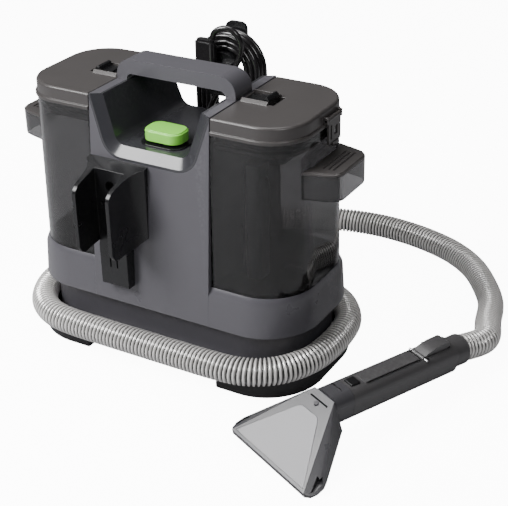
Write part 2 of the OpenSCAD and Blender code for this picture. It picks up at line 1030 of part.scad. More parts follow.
// The window's outline, grown by grow, from t0 to t1 off the sloping top.
module window_plate(grow, t0, t1) {
  x0 = 21;
  x1 = nozzle_l / cos(top_tilt) - 4;
  round_r = 10;
  translate([0, 0, neck_half_z])
    rotate([0, top_tilt, 0])
      translate([0, 0, t0])
        linear_extrude(t1 - t0)
          hull() {
            for (s = [-1, 1])
              translate([x0 + round_r, s * (neck_half_y - 7)])
                circle(round_r + grow);
            translate([x1, 4 - mouth_half - grow])
              square([1 + grow, 2 * (mouth_half - 4 + grow)]);
          }
}

module nozzle() {
  color("dimgray")
    wand_place()
      difference() {
        union() {
          translate([gap, 0, 0])
            wand_section(head_at + 2);
          rod_x([-22, 0, 0], spigot_r, 30);
          head_place()
            head_block(0, -2, nozzle_l);
        }
        rod_x([-23, 0, 0], spigot_r - 2, 23 + head_at + 12);
        head_place() {
          head_block(shell_t, 5, nozzle_l + 1);
          window_plate(0.1, -5, 2);
          rod([10, 0, neck_half_z - 12], 2.7, 20);
        }
      }
}

module nozzle_window() {
  color("gray", 0.5)
    wand_place()
      head_place()
        window_plate(0, -shell_t + 0.4, 0);
}

module spray_tip() {
  color("black")
    wand_place()
      head_place() {
        rod([10, 0, neck_half_z - 10], 2.5, 7);
      }
}

// ---------- mains cord ----------

module stadium(half_x, low, high) {
  translate([-half_x, low + half_x])
    square([2 * half_x, high - low - 2 * half_x]);
  for (z = [low + half_x, high - half_x])
    translate([0, z])
      circle(half_x);
}

module cord_hank() {
  color("black")
    translate([0, hank_y[1], 0])
      rotate([90, 0, 0])
        linear_extrude(hank_y[1] - hank_y[0])
          difference() {
            stadium(hank_half_x, hank_low, hank_top);
            stadium(hank_half_x - hank_t, hank_low + hank_t, hank_top - hank_t);
          }
}

module cord_gland() {
  color("black")
    difference() {
      union() {
        rod_y([-60, 89, 100], 7, 4);
        translate([-60, 93, 100])
          rotate([-90, 0, 0])
            cylinder(r1 = 6, r2 = 4.4, h = 22);
        rod_y([-60, 80, 100], 4, 10);
      }
    }
}

module cord_lead() {
  color("black")
    tube(spline([[-60, 115.4, 100], [-60, 122, 100], [-61, 136, 106], [-62, 141, 124], [-62, 136, 150],
      [-62, 124, 180], [-61, 110, 206], [-58, 102, 226], [-52, 101, 240], [-hank_half_x, 101, 243]], 4),
      cord_d / 2, 10, [1, 0, 0.3]);
}

module plug() {
  plug_at = [-17, 75];
  color("black") {
    translate([plug_at[0], plug_at[1], 322])
      linear_extrude(22)
        rounded(13, 6.6, 5);
    translate([plug_at[0], plug_at[1], 344])
      linear_extrude(3)
        rounded(11, 5, 4);
    rod([plug_at[0] + 9, plug_at[1], 347], 4.6, 2);
    tube(spline([[-8, 75, 348.8], [-7, 75.4, 354], [0, 78, 358.5], [8, 82, 357.5], [12.5, 85.5, 351],
      [13, hank_y[0], 345]], 5), cord_d / 2, 10, [0, 1, 0.4]);
  }
}

module plug_pins() {
  color("gold")
    for (x = [-22.5, -11.5])
      box([x - 3, 74.2, 320], [x + 3, 75.8, 322]);
}

// Two identical hooks, one above the other, that the cord is wound round.
module cord_hooks() {
  half_x = 18;
  lip = 28;
  for (end = [[hank_top, 1], [hank_low, -1]]) {
    way = end[1];
    centre = end[0] - way * hank_half_x;
    near = centre + way * (hank_half_x - hank_t - gap);
    root = way > 0 ? 280 : 180;
    top = way > 0 ? top_z + 1 : 213;
    color("slategray") {
      intersection() {
        box([-half_x, 82, min(near, near - way * 12)], [half_x, hank_y[1] + 5.5, max(near, near - way * 12)]);
        rod_y([0, 70, centre], hank_half_x - hank_t - gap, 60);
      }
      box([-half_x + 4, hank_y[1] + 0.5, min(near - way * 9, near + way * lip)],
        [half_x - 4, hank_y[1] + 5.5, max(near - way * 9, near + way * lip)]);
      side_prism([[tower_y(root) + 0.2, root], [87, root], [87, top], [tower_y(top) + 0.2, top]], half_x - 4);
    }
  }
}

base_pan();
foot_left();
foot_right();
front_housing();
rear_housing();
control_deck();
carry_handle();
tool_holder();
exhaust_grille();
housing_screws();
vacuum_motor();
motor_mount();
fan_casing();
impeller();
air_duct();
pump();
pump_tube();
switch();
control_board();
hose_port();
power_button();
button_plate();
button_spring();
clean_tank();
clean_grip_cap();
clean_lid();
clean_lid_seal();
clean_latch();
clean_clasp();
clean_clasp_pin();
valve_poppet();
valve_spring();
valve_cap();
dirty_tank();
dirty_grip_cap();
dirty_lid();
dirty_lid_seal();
dirty_latch();
dirty_clasp();
dirty_clasp_pin();
riser();
float_cage();
float();
baffle();
hose();
hose_cuff();
wand_left();
wand_right();
trigger();
trigger_pin();
release_button();
nozzle();
nozzle_window();
spray_tip();
cord_gland();
cord_lead();
cord_hank();
plug();
plug_pins();
cord_hooks();
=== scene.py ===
import bpy
import bmesh
import json
import math
import random
from mathutils import Matrix, Vector

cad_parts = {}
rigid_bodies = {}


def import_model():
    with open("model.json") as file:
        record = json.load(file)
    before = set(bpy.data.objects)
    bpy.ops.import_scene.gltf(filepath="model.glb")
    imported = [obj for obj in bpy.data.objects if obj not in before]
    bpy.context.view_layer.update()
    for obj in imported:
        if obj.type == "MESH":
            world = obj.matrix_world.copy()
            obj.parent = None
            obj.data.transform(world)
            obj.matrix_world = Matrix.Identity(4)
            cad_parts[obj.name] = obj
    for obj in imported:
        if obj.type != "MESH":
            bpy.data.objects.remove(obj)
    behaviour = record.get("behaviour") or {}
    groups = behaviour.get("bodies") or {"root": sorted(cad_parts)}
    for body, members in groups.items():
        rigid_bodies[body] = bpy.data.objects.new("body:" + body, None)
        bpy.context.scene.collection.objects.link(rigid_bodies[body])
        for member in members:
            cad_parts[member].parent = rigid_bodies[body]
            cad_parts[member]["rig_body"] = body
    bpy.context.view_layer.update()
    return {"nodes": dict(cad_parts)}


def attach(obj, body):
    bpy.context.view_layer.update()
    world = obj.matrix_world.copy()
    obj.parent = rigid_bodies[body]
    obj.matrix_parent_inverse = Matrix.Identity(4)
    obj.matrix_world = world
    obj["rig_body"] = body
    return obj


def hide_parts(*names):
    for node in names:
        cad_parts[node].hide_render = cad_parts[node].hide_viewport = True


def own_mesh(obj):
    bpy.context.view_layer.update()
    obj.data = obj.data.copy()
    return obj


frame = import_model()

MM = 0.001

# ---------------------------------------------------------------------------
# Camera. It looks down at the front right corner of the machine, with a
# slight lean, and sees the wand lying on the floor in front.
aim = Vector((86.4, 0.0, 127.7)) * MM
azimuth, elevation, lean = math.radians(30.70), math.radians(28.09), math.radians(-1.24)
stand_off = 1427.9 * MM
back = Vector((math.sin(azimuth) * math.cos(elevation), -math.cos(azimuth) * math.cos(elevation),
               math.sin(elevation)))
level_right = Vector((math.cos(azimuth), math.sin(azimuth), 0.0))
level_up = back.cross(level_right)
right = math.cos(lean) * level_right + math.sin(lean) * level_up
up = -math.sin(lean) * level_right + math.cos(lean) * level_up
camera_data = bpy.data.cameras.new("camera")
SENSOR_WIDTH, FOCAL_LENGTH, FRAME_WIDTH = 36.0, 1235.9, 508.0
camera_data.sensor_width = SENSOR_WIDTH
camera_data.sensor_fit = "HORIZONTAL"
camera_data.lens = SENSOR_WIDTH * FOCAL_LENGTH / FRAME_WIDTH
camera_data.clip_start = 0.05
camera_data.clip_end = 50.0
camera = bpy.data.objects.new("camera", camera_data)
bpy.context.scene.collection.objects.link(camera)
turn = Matrix((right, up, back)).transposed().to_4x4()
camera.matrix_world = Matrix.Translation(aim + back * stand_off) @ turn
bpy.context.scene.camera = camera

# ---------------------------------------------------------------------------
# Suction hose. A 32 mm corrugated PVC hose with a wire helix. It leaves the
# elbow at the back, lies round the foot, crosses the floor and ends in the cuff of the wand. The ridges are
# silver; the valleys between them are painted near black as painted shade.
HOSE_D = 32 * MM
RIDGE_PITCH = 5.0 * MM
RIDGE_DEPTH = 2.3 * MM
WAND_HEADING, WAND_PITCH, WAND_ROLL = math.radians(-110.5), math.radians(3.9), math.radians(-7.1)
NECK = Vector((256.4, -109.9, 46.7)) * MM
WAND_L, CUFF_L = 160 * MM, 22 * MM
wand_along = Vector((math.cos(WAND_PITCH) * math.cos(WAND_HEADING),
                     math.cos(WAND_PITCH) * math.sin(WAND_HEADING), math.sin(WAND_PITCH)))
hose_end = NECK - (WAND_L + CUFF_L) * wand_along
hose_back = hose_end - 45 * MM * Vector((math.cos(WAND_HEADING), math.sin(WAND_HEADING), 0.14))


def run_of(points):
    return [Vector(p) * MM for p in points]


hose_route = run_of([
    (34, 108, 42), (60, 109, 42), (100, 107, 40), (133, 99, 38.5), (162, 82, 38.5), (183, 53, 38.5),
    (190, 20, 38.5), (190, -20, 38.5), (183, -52, 38.5), (165, -82, 38.5), (138, -101, 38.5),
    (104, -108, 38.5), (50, -109, 38.5), (0, -109, 38.5), (-50, -109, 38.5), (-104, -108, 38.5),
    (-138, -101, 38.5), (-165, -82, 38.5), (-183, -52, 38.5), (-190, -20, 38.5), (-192, 20, 38.5),
    (-190, 66, 37), (-181, 112, 31), (-158, 164, 21), (-116, 222, 16.5), (-64, 272, 16.5),
    (-6, 308, 16.5), (46, 326, 16.5), (92, 333, 16.5), (134, 331, 16.5), (176, 322, 16.5),
    (216, 306, 16.5), (252, 280, 16.5), (281, 245, 16.5), (306, 203, 17), (321, 154, 20.5)])
hose_route += [hose_back, hose_end]


def smooth_run(route, steps):
    """Points along a smooth curve through every point of the route."""
    out = []
    last = len(route) - 1
    for i in range(last):
        a, b, c, d = route[max(i - 1, 0)], route[i], route[i + 1], route[min(i + 2, last)]
        for k in range(steps):
            t = k / steps
            out.append(0.5 * (2 * b + (c - a) * t + (2 * a - 5 * b + 4 * c - d) * t * t
                              + (3 * b - a - 3 * c + d) * t ** 3))
    return out + [route[last].copy()]


def even_run(points, step):
    """The same run with its points an even step apart."""
    lengths = [0.0]
    for a, b in zip(points, points[1:]):
        lengths.append(lengths[-1] + (b - a).length)
    count = max(2, round(lengths[-1] / step))
    out, i = [], 0
    for k in range(count + 1):
        s = lengths[-1] * k / count
        while i < len(points) - 2 and lengths[i + 1] < s:
            i += 1
        t = (s - lengths[i]) / max(lengths[i + 1] - lengths[i], 1e-9)
        out.append(points[i].lerp(points[i + 1], min(max(t, 0), 1)))
    return out, lengths[-1]


def swept_tube(name, path, sides, radius_at, start_side, mark=None):
    """A closed tube along the path. radius_at(s, angle) gives its radius, and mark(s, angle) a
    value kept on each point for the material."""
    bm = bmesh.new()
    layer = bm.verts.layers.float.new(mark[0]) if mark else None
    side = Vector(start_side)
    rings, s = [], 0.0
    for i, p in enumerate(path):
        if i:
            s += (p - path[i - 1]).length
        along = (path[min(i + 1, len(path) - 1)] - path[max(i - 1, 0)]).normalized()
        side = (side - along * side.dot(along)).normalized()
        other = along.cross(side)
        ring = []
        for k in range(sides):
            angle = 2 * math.pi * k / sides
            v = bm.verts.new(p + radius_at(s, angle) * (math.cos(angle) * side + math.sin(angle) * other))
            if layer:
                v[layer] = mark[1](s, angle)
            ring.append(v)
        rings.append(ring)
    for a, b in zip(rings, rings[1:]):
        for k in range(sides):
            bm.faces.new((a[k], a[(k + 1) % sides], b[(k + 1) % sides], b[k]))
    bm.faces.new(list(reversed(rings[0])))
    bm.faces.new(rings[-1])
    for f in bm.faces:
        f.smooth = len(f.verts) == 4
    return finished(bm, name)


def finished(bm, name):
    bmesh.ops.recalc_face_normals(bm, faces=bm.faces)
    mesh = bpy.data.meshes.new(name)
    bm.to_mesh(mesh)
    bm.free()
    obj = bpy.data.objects.new(name, mesh)
    bpy.context.scene.collection.objects.link(obj)
    return obj


def ridge(s, angle):
    """1 on top of a ridge, 0 at the bottom of a valley; the helix climbs one pitch a turn."""
    phase = (s / RIDGE_PITCH + angle / (2 * math.pi)) % 1.0
    wave = 0.5 + 0.5 * math.cos(2 * math.pi * phase)
    return min(1.0, 1.6 * wave) ** 2.2


def grain_group():
    """Fine moulded grain: a height for the bump, and a slow uneven value for roughness."""
    group = bpy.data.node_groups.new("moulded_grain", "ShaderNodeTree")
    for socket, kind, way in (("Scale", "NodeSocketFloat", "INPUT"), ("Height", "NodeSocketFloat", "OUTPUT"),
                              ("Uneven", "NodeSocketFloat", "OUTPUT")):
        group.interface.new_socket(socket, in_out=way, socket_type=kind)
    n = group.nodes
    entry, leave = n.new("NodeGroupInput"), n.new("NodeGroupOutput")
    place = n.new("ShaderNodeTexCoord")
    fine, slow = n.new("ShaderNodeTexNoise"), n.new("ShaderNodeTexNoise")
    fine.inputs["Detail"].default_value = 4.0
    slow.inputs["Scale"].default_value = 26.0
    slow.inputs["Detail"].default_value = 5.0
    join = group.links.new
    join(place.outputs["Object"], fine.inputs["Vector"])
    join(place.outputs["Object"], slow.inputs["Vector"])
    join(entry.outputs["Scale"], fine.inputs["Scale"])
    join(fine.outputs["Fac"], leave.inputs["Height"])
    join(slow.outputs["Fac"], leave.inputs["Uneven"])
    return group


def dust_group():
    """Two masks: a light film of dust, more on faces that look up and close to the floor, and a patchy
    lightening where the surface is sharply convex."""
    group = bpy.data.node_groups.new("light_dust", "ShaderNodeTree")
    for socket, kind, way in (("Amount", "NodeSocketFloat", "INPUT"), ("Mask", "NodeSocketFloat", "OUTPUT"),
                              ("Convex Lightening", "NodeSocketFloat", "OUTPUT")):
        group.interface.new_socket(socket, in_out=way, socket_type=kind)
    n = group.nodes
    entry, leave = n.new("NodeGroupInput"), n.new("NodeGroupOutput")
    place, look = n.new("ShaderNodeTexCoord"), n.new("ShaderNodeNewGeometry")
    split_n, split_p = n.new("ShaderNodeSeparateXYZ"), n.new("ShaderNodeSeparateXYZ")
    flat, low = n.new("ShaderNodeMapRange"), n.new("ShaderNodeMapRange")
    for node, lo, hi, a, b in ((flat, 0.3, 1.0, 0.0, 1.0), (low, 0.0, 0.09, 1.0, 0.25)):
        node.inputs["From Min"].default_value = lo
        node.inputs["From Max"].default_value = hi
        node.inputs["To Min"].default_value = a
        node.inputs["To Max"].default_value = b
    cloud = n.new("ShaderNodeTexNoise")
    cloud.inputs["Scale"].default_value = 240.0
    cloud.inputs["Detail"].default_value = 6.0
    times = [n.new("ShaderNodeMath") for _ in range(3)]
    for t in times:
        t.operation = "MULTIPLY"
    join = group.links.new
    join(look.outputs["Normal"], split_n.inputs[0])
    join(place.outputs["Object"], split_p.inputs[0])
    join(place.outputs["Object"], cloud.inputs["Vector"])
    join(split_n.outputs["Z"], flat.inputs["Value"])
    join(split_p.outputs["Z"], low.inputs["Value"])
    join(flat.outputs["Result"], times[0].inputs[0])
    join(low.outputs["Result"], times[0].inputs[1])
    join(times[0].outputs[0], times[1].inputs[0])
    join(cloud.outputs["Fac"], times[1].inputs[1])
    join(times[1].outputs[0], times[2].inputs[0])
    join(entry.outputs["Amount"], times[2].inputs[1])
    join(times[2].outputs[0], leave.inputs["Mask"])
    # The second mask lightens sharply convex edges, in patches.
    edge, patchy, convex_lightening = n.new("ShaderNodeMapRange"), n.new("ShaderNodeMapRange"), n.new("ShaderNodeMath")
    for node, lo, hi in ((edge, 0.57, 0.74), (patchy, 0.45, 0.7)):
        node.inputs["From Min"].default_value = lo
        node.inputs["From Max"].default_value = hi
    convex_lightening.operation = "MULTIPLY"
    join(look.outputs["Pointiness"], edge.inputs["Value"])
    join(cloud.outputs["Fac"], patchy.inputs["Value"])
    join(edge.outputs["Result"], convex_lightening.inputs[0])
    join(patchy.outputs["Result"], convex_lightening.inputs[1])
    join(convex_lightening.outputs[0], leave.inputs["Convex Lightening"])
    return group


GRAIN, DUST = grain_group(), dust_group()


DUST_COLOUR = (0.42, 0.40, 0.37, 1)
TONE_SPREAD, ROUGH_SPREAD, COAT_ROUGH, GRAIN_HEIGHT = 0.05, 0.07, 0.18, 0.0004


def moulded(name, colour, rough, grain=900.0, depth=0.1, dust=0.12, coat=0.0, attribute=None, metallic=0.0):
    """A moulded plastic, rubber or metal finish. attribute = (name, dark colour) darkens the finish
    as painted shade where that value kept on the points is low."""
    material = bpy.data.materials.new(name)
    material.use_nodes = True
    nodes, join = material.node_tree.nodes, material.node_tree.links.new
    shader = nodes["Principled BSDF"]
    shader.inputs["Metallic"].default_value = metallic
    shader.inputs["Coat Weight"].default_value = coat
    shader.inputs["Coat Roughness"].default_value = COAT_ROUGH
    fine, film = nodes.new("ShaderNodeGroup"), nodes.new("ShaderNodeGroup")
    fine.node_tree, film.node_tree = GRAIN, DUST
    fine.inputs["Scale"].default_value = grain
    film.inputs["Amount"].default_value = dust
    paint, tone = nodes.new("ShaderNodeMix"), nodes.new("ShaderNodeMix")
    for mix in (paint, tone):
        mix.data_type = "RGBA"
    tone.inputs["A"].default_value = (*[c * (1 - TONE_SPREAD) for c in colour], 1)
    tone.inputs["B"].default_value = (*[min(1, c * (1 + TONE_SPREAD)) for c in colour], 1)
    paint.inputs["B"].default_value = DUST_COLOUR
    join(fine.outputs["Uneven"], tone.inputs["Factor"])
    source = tone.outputs["Result"]
    if attribute:
        # Painted shade: the kept value mixes the finish towards the dark colour.
        kept, painted_shade = nodes.new("ShaderNodeAttribute"), nodes.new("ShaderNodeMix")
        kept.attribute_name = attribute[0]
        painted_shade.data_type = "RGBA"
        painted_shade.inputs["A"].default_value = (*attribute[1], 1)
        join(kept.outputs["Fac"], painted_shade.inputs["Factor"])
        join(source, painted_shade.inputs["B"])
        source = painted_shade.outputs["Result"]
    join(source, paint.inputs["A"])
    join(film.outputs["Mask"], paint.inputs["Factor"])
    # The colour is lighter on sharply convex edges, in patches.
    convex_lighter = nodes.new("ShaderNodeMix")
    convex_lighter.data_type = "RGBA"
    convex_lighter.inputs["B"].default_value = (*[min(1, c * 1.2 + 0.012) for c in colour], 1)
    join(paint.outputs["Result"], convex_lighter.inputs["A"])
    join(film.outputs["Convex Lightening"], convex_lighter.inputs["Factor"])
    join(convex_lighter.outputs["Result"], shader.inputs["Base Color"])
    matt = nodes.new("ShaderNodeMapRange")
    matt.inputs["To Min"].default_value = max(0.02, rough - ROUGH_SPREAD)
    matt.inputs["To Max"].default_value = rough + ROUGH_SPREAD
    join(fine.outputs["Uneven"], matt.inputs["Value"])
    join(matt.outputs["Result"], shader.inputs["Roughness"])
    bump = nodes.new("ShaderNodeBump")
    bump.inputs["Strength"].default_value = depth
    bump.inputs["Distance"].default_value = GRAIN_HEIGHT
    join(fine.outputs["Height"], bump.inputs["Height"])
    join(bump.outputs["Normal"], shader.inputs["Normal"])
    return material


hose_path, hose_length = even_run(smooth_run(hose_route, 12), RIDGE_PITCH / 6)
hose = swept_tube("suction_hose", hose_path, 26,
                  lambda s, a: HOSE_D / 2 - RIDGE_DEPTH * (1 - ridge(s, a)), (0, 1, 0),
                  ("ridge", ridge))
# The ridge value paints the hose's valleys near black: painted shade in the creases.
hose.data.materials.append(moulded("hose_silver", (0.90, 0.88, 0.86), 0.22, depth=0.04, dust=0.03, coat=0.3,
                                   attribute=("ridge", (0.005, 0.005, 0.005)), metallic=0.3))
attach(hose, "machine")
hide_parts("hose")

# ---------------------------------------------------------------------------
# Mains cord. A 7 mm black rubber cord leaves the gland at the back, climbs to
# the cord hooks, is wound round them nine times and ends in its moulded plug.
CORD_D = 7 * MM
TURNS = 9
HOOK_TOP, HOOK_LOW = 307 * MM, 225 * MM
SLACK = 0.5
RUN_STEPS, BEND_STEPS = 6, 10
COLUMNS = [109.4 * MM, 101.0 * MM, 92.6 * MM]
LAYERS = [40.6 * MM, 33.6 * MM, 26.9 * MM]
cord_dice = random.Random(5)


def turn_at(k):
    layer, column = divmod(min(k, TURNS - 1), len(COLUMNS))
    if layer % 2:
        column = len(COLUMNS) - 1 - column
    return LAYERS[layer], COLUMNS[column]


wound = []
for k in range(TURNS):
    (r0, y0), (r1, y1) = turn_at(k), turn_at(k + 1)
    wobble = [cord_dice.uniform(-SLACK, SLACK) * MM for _ in range(4)]
    for i in range(RUN_STEPS):
        wound.append(Vector((-r0, y0 + wobble[0], HOOK_LOW + (HOOK_TOP - HOOK_LOW) * i / RUN_STEPS)))
    for i in range(BEND_STEPS):
        a = math.pi - math.pi * i / BEND_STEPS
        wound.append(Vector((r0 * math.cos(a), y0 + wobble[1], HOOK_TOP + (r0 + wobble[3]) * math.sin(a))))
    for i in range(RUN_STEPS):
        wound.append(Vector((r0, y0 + wobble[2], HOOK_TOP - (HOOK_TOP - HOOK_LOW) * i / RUN_STEPS)))
    if k < TURNS - 1:
        for i in range(BEND_STEPS):
            t = i / BEND_STEPS
            ease = t * t * (3 - 2 * t)
            a = -math.pi * t
            r = r0 + (r1 - r0) * ease
            wound.append(Vector((r * math.cos(a), y0 + (y1 - y0) * ease, HOOK_LOW + r * math.sin(a))))
lead = run_of([(-60, 115, 100), (-60, 122, 100), (-60, 130, 101.5), (-60, 138, 106), (-60.5, 143, 113.5),
               (-61, 145, 123), (-61, 143, 135), (-60, 137, 152), (-57, 126, 177), (-50, 113.5, 204)])
tail = run_of([(25.5, 88.5, 220), (21.5, 87, 209), (12, 85.8, 200.5), (0, 85, 197.5), (-12, 84.6, 200.5),
               (-21, 84.3, 209), (-25.5, 84.1, 222), (-25, 84, 240), (-19, 83.8, 260), (-6, 83.6, 284),
               (10, 83.4, 306), (22, 83.4, 325), (26, 82.6, 341), (24, 81, 352), (18, 79.4, 359.5),
               (9, 77.6, 362.5), (0, 76.2, 360.2), (-6, 75.4, 355), (-8, 75, 348.8)])
cord_path, cord_length = even_run(smooth_run(lead + wound + tail, 6), 2.2 * MM)
cord = swept_tube("mains_cord", cord_path, 12, lambda s, a: CORD_D / 2, (1, 0, 0))
black_rubber = moulded("cord_rubber", (0.014, 0.013, 0.014), 0.22, grain=1500.0, depth=0.04, dust=0.02,
                       coat=0.5)
cord.data.materials.append(black_rubber)
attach(cord, "machine")
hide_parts("cord_lead", "cord_hank")


def dressed(node, name, material, width=0.7, segments=2, rounds=(), angle=32):
    """The frame's own solid, merged, with its edges rounded. rounds are (test, width in mm, segments)
    for edges that have a larger radius; test takes an edge's middle in millimetres."""
    source = frame["nodes"][node]
    bm = bmesh.new()
    bm.from_mesh(source.data)
    bmesh.ops.remove_doubles(bm, verts=bm.verts, dist=0.00002)
    bmesh.ops.dissolve_limit(bm, angle_limit=math.radians(0.6), verts=bm.verts, edges=bm.edges)
    bmesh.ops.recalc_face_normals(bm, faces=bm.faces)
    for test, size, steps in rounds:
        edges = [e for e in bm.edges if len(e.link_faces) == 2
                 and e.calc_face_angle(0) > math.radians(angle)
                 and test((e.verts[0].co + e.verts[1].co) / (2 * MM),
                          (e.verts[1].co - e.verts[0].co).normalized())]
        bmesh.ops.bevel(bm, geom=edges, offset=size * MM, offset_type="OFFSET", segments=steps, profile=0.5,
                        affect="EDGES", clamp_overlap=True, material=-1)
    for f in bm.faces:
        f.smooth = True
    obj = finished(bm, name)
    obj.data.materials.clear()
    obj.data.materials.append(material)
    for p in obj.data.polygons:
        p.material_index = 0
    if width:
        edge = obj.modifiers.new("edges", "BEVEL")
        edge.width = width * MM
        edge.segments = segments
        edge.limit_method = "ANGLE"
        edge.angle_limit = math.radians(angle)
    even = obj.modifiers.new("even", "WEIGHTED_NORMAL")
    even.keep_sharp = True
    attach(obj, source["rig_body"])
    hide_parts(node)
    return obj


def built(name, material, body, pieces, replaced=(), width=0.0, angle=32):
    """A new piece made from a bmesh."""
    for f in pieces.faces:
        f.smooth = True
    obj = finished(pieces, name)
    obj.data.materials.append(material)
    if width:
        edge = obj.modifiers.new("edges", "BEVEL")
        edge.width = width * MM
        edge.segments = 2
        edge.limit_method = "ANGLE"
        edge.angle_limit = math.radians(angle)
    even = obj.modifiers.new("even", "WEIGHTED_NORMAL")
    even.keep_sharp = True
    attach(obj, body)
    if replaced:
        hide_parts(*replaced)
    return obj


dressed("cord_gland", "cord_gland_sleeve", black_rubber, width=0.5)
# The plug's stub of cord is cut off at its boot: the drawn cord takes its place.
BOOT_TOP, BOOT_RIGHT = 348.6 * MM, 1 * MM
bm = bmesh.new()
bm.from_mesh(frame["nodes"]["plug"].data)
bmesh.ops.remove_doubles(bm, verts=bm.verts, dist=0.00002)
bmesh.ops.delete(bm, geom=[v for v in bm.verts if v.co.x > BOOT_RIGHT], context="VERTS")
bmesh.ops.bisect_plane(bm, geom=bm.verts[:] + bm.edges[:] + bm.faces[:], dist=1e-6,
                       plane_co=(0, 0, BOOT_TOP), plane_no=(0, 0, 1), clear_outer=True)
bmesh.ops.holes_fill(bm, edges=[e for e in bm.edges if e.is_boundary], sides=0)
bmesh.ops.recalc_face_normals(bm, faces=bm.faces)
plug = built("mains_plug", black_rubber, "machine", bm, replaced=("plug",), width=1.6)
plug_metal = moulded("plug_brass", (0.72, 0.58, 0.34), 0.25, depth=0.02, dust=0.0, metallic=1.0)
pins = dressed("plug_pins", "mains_plug_pins", plug_metal, width=0.3)

# ---------------------------------------------------------------------------
# Floor and light: a plain white studio floor, a large soft key light above and
# to the left, a weak side light, a soft top light and an even white surround.
bm = bmesh.new()
bmesh.ops.create_grid(bm, x_segments=1, y_segments=1, size=6.0)
floor = finished(bm, "studio_floor")
FLOOR_GLOW, SURROUND_LEFT, SURROUND_RIGHT, SURROUND_SEEN = 11.0, 2.3, 0.55, 260.0
floor_paint = bpy.data.materials.new("studio_floor_paint")
floor_paint.use_nodes = True
nodes, join = floor_paint.node_tree.nodes, floor_paint.node_tree.links.new
nodes.remove(nodes["Principled BSDF"])
ray = nodes.new("ShaderNodeLightPath")
seen, unseen = nodes.new("ShaderNodeBsdfDiffuse"), nodes.new("ShaderNodeBsdfDiffuse")
glow, lift = nodes.new("ShaderNodeEmission"), nodes.new("ShaderNodeAddShader")
pick = nodes.new("ShaderNodeMixShader")
seen.inputs["Color"].default_value = (0.93, 0.93, 0.93, 1)
unseen.inputs["Color"].default_value = (0.42, 0.42, 0.43, 1)
glow.inputs["Strength"].default_value = FLOOR_GLOW
join(seen.outputs[0], lift.inputs[0])
join(glow.outputs[0], lift.inputs[1])
join(ray.outputs["Is Camera Ray"], pick.inputs["Fac"])
join(unseen.outputs[0], pick.inputs[1])
join(lift.outputs[0], pick.inputs[2])
join(pick.outputs[0], nodes["Material Output"].inputs["Surface"])
floor.data.materials.append(floor_paint)
world = bpy.data.worlds.new("studio")
bpy.context.scene.world = world
world.use_nodes = True
nodes, join = world.node_tree.nodes, world.node_tree.links.new
ray, way = nodes.new("ShaderNodeLightPath"), nodes.new("ShaderNodeTexCoord")
split, fall = nodes.new("ShaderNodeSeparateXYZ"), nodes.new("ShaderNodeMapRange")
level = nodes.new("ShaderNodeMix")
fall.inputs["From Min"].default_value = -0.8
fall.inputs["From Max"].default_value = 0.9
fall.inputs["To Min"].default_value = SURROUND_LEFT
fall.inputs["To Max"].default_value = SURROUND_RIGHT
level.inputs["B"].default_value = SURROUND_SEEN
join(way.outputs["Generated"], split.inputs[0])
join(split.outputs["X"], fall.inputs["Value"])
join(fall.outputs["Result"], level.inputs["A"])
join(ray.outputs["Is Camera Ray"], level.inputs["Factor"])
join(level.outputs["Result"], nodes["Background"].inputs["Strength"])


def soft_light(name, at, size, power, target=(0.05, 0.0, 0.15)):
    data = bpy.data.lights.new(name, "AREA")
    data.shape = "RECTANGLE"
    data.size, data.size_y = size
    data.energy = power
    obj = bpy.data.objects.new(name, data)
    bpy.context.scene.collection.objects.link(obj)
    way = Vector(target) - Vector(at)
    obj.matrix_world = Matrix.Translation(at) @ way.to_track_quat("-Z", "Y").to_matrix().to_4x4()


soft_light("key", (-0.90, -1.22, 1.50), (1.0, 1.0), 62)
soft_light("side", (1.5, -1.0, 1.5), (0.5, 0.9), 12)
soft_light("top", (-0.3, 0.2, 2.1), (1.4, 1.0), 22)

# ---------------------------------------------------------------------------
# Base pan and feet. The pan is a dark tub under the housing seam; two broad
# rubber-faced feet carry it, and the wrapped hose rests on them.
pan_black = moulded("pan_charcoal", (0.060, 0.058, 0.066), 0.34, depth=0.06, dust=0.08, coat=0.1)
foot_black = moulded("foot_rubber", (0.013, 0.012, 0.013), 0.5, grain=700.0, depth=0.2, dust=0.12)
dressed("base_pan", "base_tub", pan_black, width=1.2)
for side in ("left", "right"):
    dressed(f"foot_{side}", f"rubber_foot_{side}", foot_black, width=2.5, segments=3)

# ---------------------------------------------------------------------------
# Housing. Front and rear halves moulded in dark grey ABS and screwed together
# from the back. The tower's long edges beside the tanks have a wide radius.
housing_grey = moulded("housing_graphite", (0.092, 0.089, 0.101), 0.30, grain=1100.0, depth=0.05, dust=0.04,
                       coat=0.1)


TOWER_SIDE, TOWER_FACE, TOWER_LOW = (76, 79), 60, 100
# An edge counts as running along an axis above ALONG, and as running across it below ACROSS.
ALONG, ACROSS = 0.9, 0.1


def tower_edge(p, d):
    """The tower's upright edges beside the tanks."""
    return (TOWER_SIDE[0] < abs(p.x) < TOWER_SIDE[1] and abs(p.y) > TOWER_FACE and p.z > TOWER_LOW
            and abs(d.z) > ALONG)


for half in ("front", "rear"):
    dressed(f"{half}_housing", f"{half}_housing_shell", housing_grey, width=0.8,
            rounds=[(tower_edge, 4.5, 5)])
steel = moulded("bright_steel", (0.55, 0.55, 0.56), 0.28, depth=0.03, dust=0.02, metallic=1.0)
dressed("housing_screws", "housing_screw_heads", steel, width=0.3)
black_plastic = moulded("black_plastic", (0.007, 0.007, 0.008), 0.26, depth=0.05, dust=0.02)
dressed("exhaust_grille", "exhaust_grille_plate", black_plastic, width=0.4)

